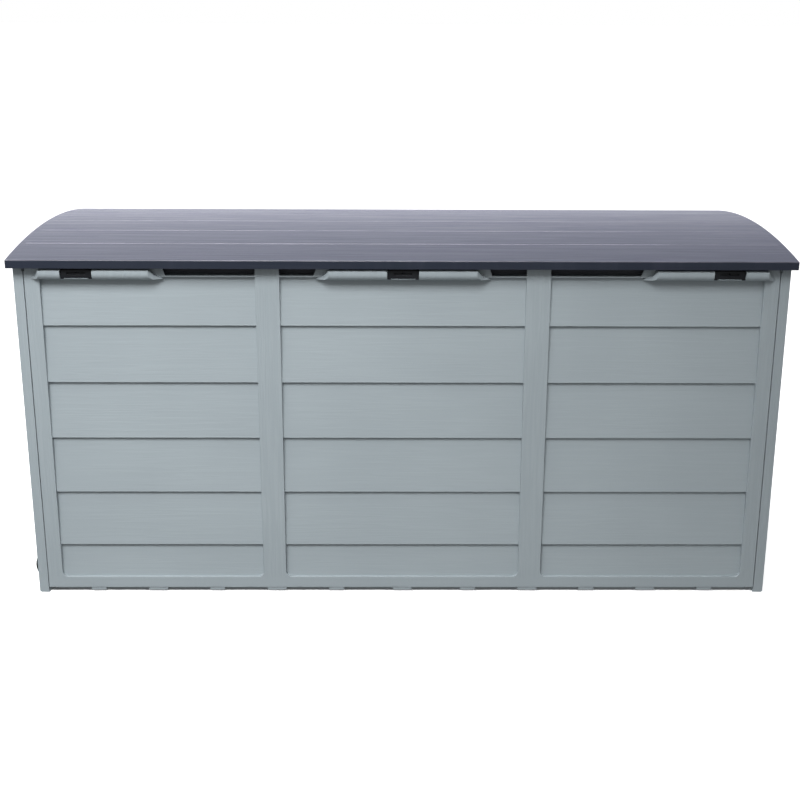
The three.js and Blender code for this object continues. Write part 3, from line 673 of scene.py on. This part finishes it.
def pale_floor():
    """Nearly white, with a glow of its own that stops under the box."""
    nodes = Nodes("pale_floor")
    cloud = nodes.noise(nodes.position, 3.0)
    colour = nodes.mix(cloud, FLOOR_SHADE, FLOOR_TINT)
    x, y, _ = nodes.axes()
    beyond_x = nodes.math("SUBTRACT", nodes.math("ABSOLUTE", x), WALL_X)
    beyond_y = nodes.math("SUBTRACT", nodes.math("ABSOLUTE", y), WALL_Y)
    beyond = nodes.math("MAXIMUM", beyond_x, beyond_y)
    glow = nodes.spread(beyond, *GLOW_EDGE, 0.0, FLOOR_GLOW)
    nodes.put(nodes.shader.inputs["Emission Strength"], glow)
    return nodes.finish(colour, 0.85, nodes.bump(cloud, 0.01 * MM), Emission_Color=(1.0, 1.0, 1.0, 1.0))


def studio():
    """The floor, the room round it and the lights."""
    corners = [(-FLOOR_REACH, -FLOOR_REACH, 0), (FLOOR_REACH, -FLOOR_REACH, 0),
               (FLOOR_REACH, FLOOR_REACH, 0), (-FLOOR_REACH, FLOOR_REACH, 0)]
    floor_mesh = bpy.data.meshes.new("floor")
    floor_mesh.from_pydata(corners, [], [(0, 1, 2, 3)])
    floor_mesh.materials.append(pale_floor())
    floor = bpy.data.objects.new("studio_floor", floor_mesh)
    bpy.context.scene.collection.objects.link(floor)
    floor.visible_diffuse = False
    floor.visible_glossy = False
    sky()
    area_light("key", place=(-0.60, -1.90, 2.12), target=(-0.55, -0.23, 0.48), size=(1.45, 1.05),
               power=16.0, spread=76.0)
    area_light("overhead", place=(-0.45, 0.0, 2.2), target=(-0.2, 0.0, 0.5), size=(1.8, 1.0), power=16.0)
    # Low on the right and behind the front wall, so that it reaches only the right end.
    area_light("side_fill", place=(2.6, 0.70, 0.25), target=(0.55, 0.1, 0.25), size=(0.9, 0.5), power=9.0)
    bpy.context.scene.view_settings.view_transform = "Standard"


# Strengths of the room's light: strong low down behind the box, weaker above and in front of it,
# and stronger on the left. Below the horizon there is only a little light thrown back.
SKY_BELOW = 0.28
SKY_FRONT = 0.20
SKY_HORIZON = 1.55
SKY_HIGH = 0.66
SKY_RISE = 0.23  # sine of the height at which the horizon has faded out
SKY_SLOPE_LOW = 0.90
SKY_SLOPE_HIGH = 1.18
BACKDROP = 1.0


def sky():
    """The bright room, which the camera itself sees only as a white backdrop."""
    world = bpy.data.worlds.new("studio")
    graph = Graph(world)
    right, back, up = graph.split(graph.add("ShaderNodeTexCoord").outputs["Generated"])
    behind = graph.spread(up, 0.0, SKY_RISE, SKY_HORIZON, SKY_HIGH)
    level = graph.spread(back, -0.4, 0.4, SKY_FRONT, behind)
    slope = graph.spread(up, 0.0, SKY_RISE, SKY_SLOPE_LOW, SKY_SLOPE_HIGH)
    leftward = graph.math("SUBTRACT", 1.0, graph.product(right, slope))
    above = graph.spread(up, -0.03, 0.0)
    room = graph.math("ADD", graph.product(level, leftward, above), SKY_BELOW)
    choice = graph.add("ShaderNodeMixShader")
    graph.link(graph.add("ShaderNodeLightPath").outputs["Is Camera Ray"], choice.inputs[0])
    for strength, socket in ((room, choice.inputs[1]), (BACKDROP, choice.inputs[2])):
        background = graph.add("ShaderNodeBackground")
        background.inputs["Color"].default_value = (1.0, 1.0, 1.0, 1.0)
        graph.put(background.inputs["Strength"], strength)
        graph.link(background.outputs[0], socket)
    graph.link(choice.outputs[0], graph.add("ShaderNodeOutputWorld").inputs[0])
    bpy.context.scene.world = world


# ---------------------------------------------------------------- camera
CAMERA_PLACE = (-0.009, -2.081, 0.861)
CAMERA_PITCH = 0.3017  # radians below level
CAMERA_YAW = 0.0108  # radians to the right
CAMERA_ROLL = 0.0046  # radians
CAMERA_LENS = 59.3  # millimetres
CAMERA_SHIFT = (-0.0127, 0.0194)


def camera():
    """In front of the box, at about eye height for someone sitting, and looking a little down."""
    data = bpy.data.cameras.new("camera")
    data.lens = CAMERA_LENS
    data.shift_x, data.shift_y = CAMERA_SHIFT
    viewer = bpy.data.objects.new("camera", data)
    viewer.matrix_world = (
        Matrix.Translation(CAMERA_PLACE)
        @ Matrix.Rotation(-CAMERA_YAW, 4, "Z")
        @ Matrix.Rotation(math.pi / 2 - CAMERA_PITCH, 4, "X")
        @ Matrix.Rotation(CAMERA_ROLL, 4, "Z")
    )
    bpy.context.scene.collection.objects.link(viewer)
    bpy.context.scene.camera = viewer


studio()
camera()
